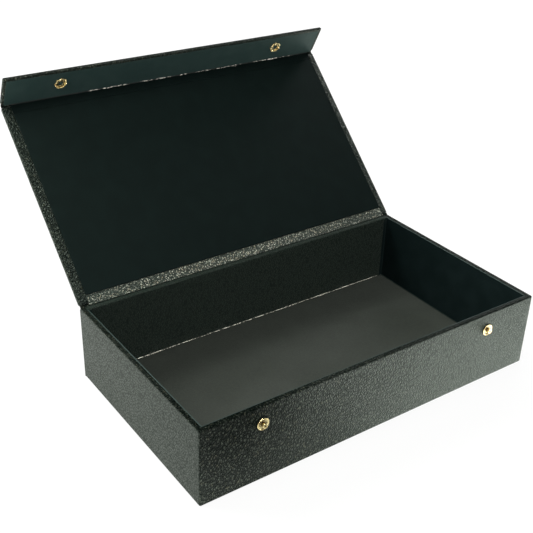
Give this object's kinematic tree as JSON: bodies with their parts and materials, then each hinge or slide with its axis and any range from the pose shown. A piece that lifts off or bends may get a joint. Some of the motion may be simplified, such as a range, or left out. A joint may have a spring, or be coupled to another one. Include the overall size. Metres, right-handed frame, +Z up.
{
  "type": "card deck box",
  "caption": "Hinged leatherette-covered board box for card decks, with an open lined tray, a folding front flap and a press-stud closure.",
  "frame": {"origin": "centre of the tray's underside", "axes": "+X along the length to the right, +Y towards the hinge at the back, +Z up"},
  "size_m": [0.34, 0.3356, 0.2312],
  "materials": {
    "grained_leatherette": "pebble grain, semi-gloss",
    "smooth_lining": "smooth, matte",
    "floor_cloth": "matte",
    "greyboard": "matte",
    "corner_paper": "matte",
    "brass": "polished"
  },
  "bodies": {
    "tray": {"side_wrap": "grained_leatherette", "back_cover": "grained_leatherette", "base_cover": "grained_leatherette", "back_lining": "grained_leatherette", "hinge_strip": "grained_leatherette", "front_lining": "smooth_lining", "left_lining": "smooth_lining", "right_lining": "smooth_lining", "floor_pad_cloth": "floor_cloth", "base_board": "greyboard", "front_board": "greyboard", "back_board": "greyboard", "left_board": "greyboard", "right_board": "greyboard", "floor_pad_board": "greyboard", "corner_tape_back_right": "corner_paper", "corner_tape_back_left": "corner_paper", "corner_tape_front_left": "corner_paper", "corner_tape_front_right": "corner_paper", "stud_left": "brass", "stud_right": "brass", "stud_rivet_left": "brass", "stud_rivet_right": "brass"},
    "lid": {"lid_board": "greyboard", "lid_cover": "grained_leatherette", "lid_liner": "smooth_lining", "lid_hinge_band": "grained_leatherette", "lid_fold_band": "smooth_lining", "fold_strip": "grained_leatherette"},
    "flap": {"flap_board": "greyboard", "flap_cover": "grained_leatherette", "flap_liner": "smooth_lining", "socket_left": "brass", "socket_right": "brass", "socket_cap_left": "brass", "socket_cap_right": "brass", "socket_spring_left": "brass", "socket_spring_right": "brass"}
  },
  "joints": [
    {"name": "lid_hinge", "type": "hinge", "parent": "tray", "child": "lid", "pos_m": [0, 0.0947, 0.0693], "axis": [-1, 0, 0], "range_deg": [-136.5, 58.5], "deforming": ["hinge_strip"]},
    {"name": "flap_hinge", "type": "hinge", "parent": "lid", "child": "flap", "pos_m": [0, 0.23463, 0.20208], "axis": [1, 0, 0], "range_deg": [-75, 15], "deforming": ["fold_strip"]}
  ]
}
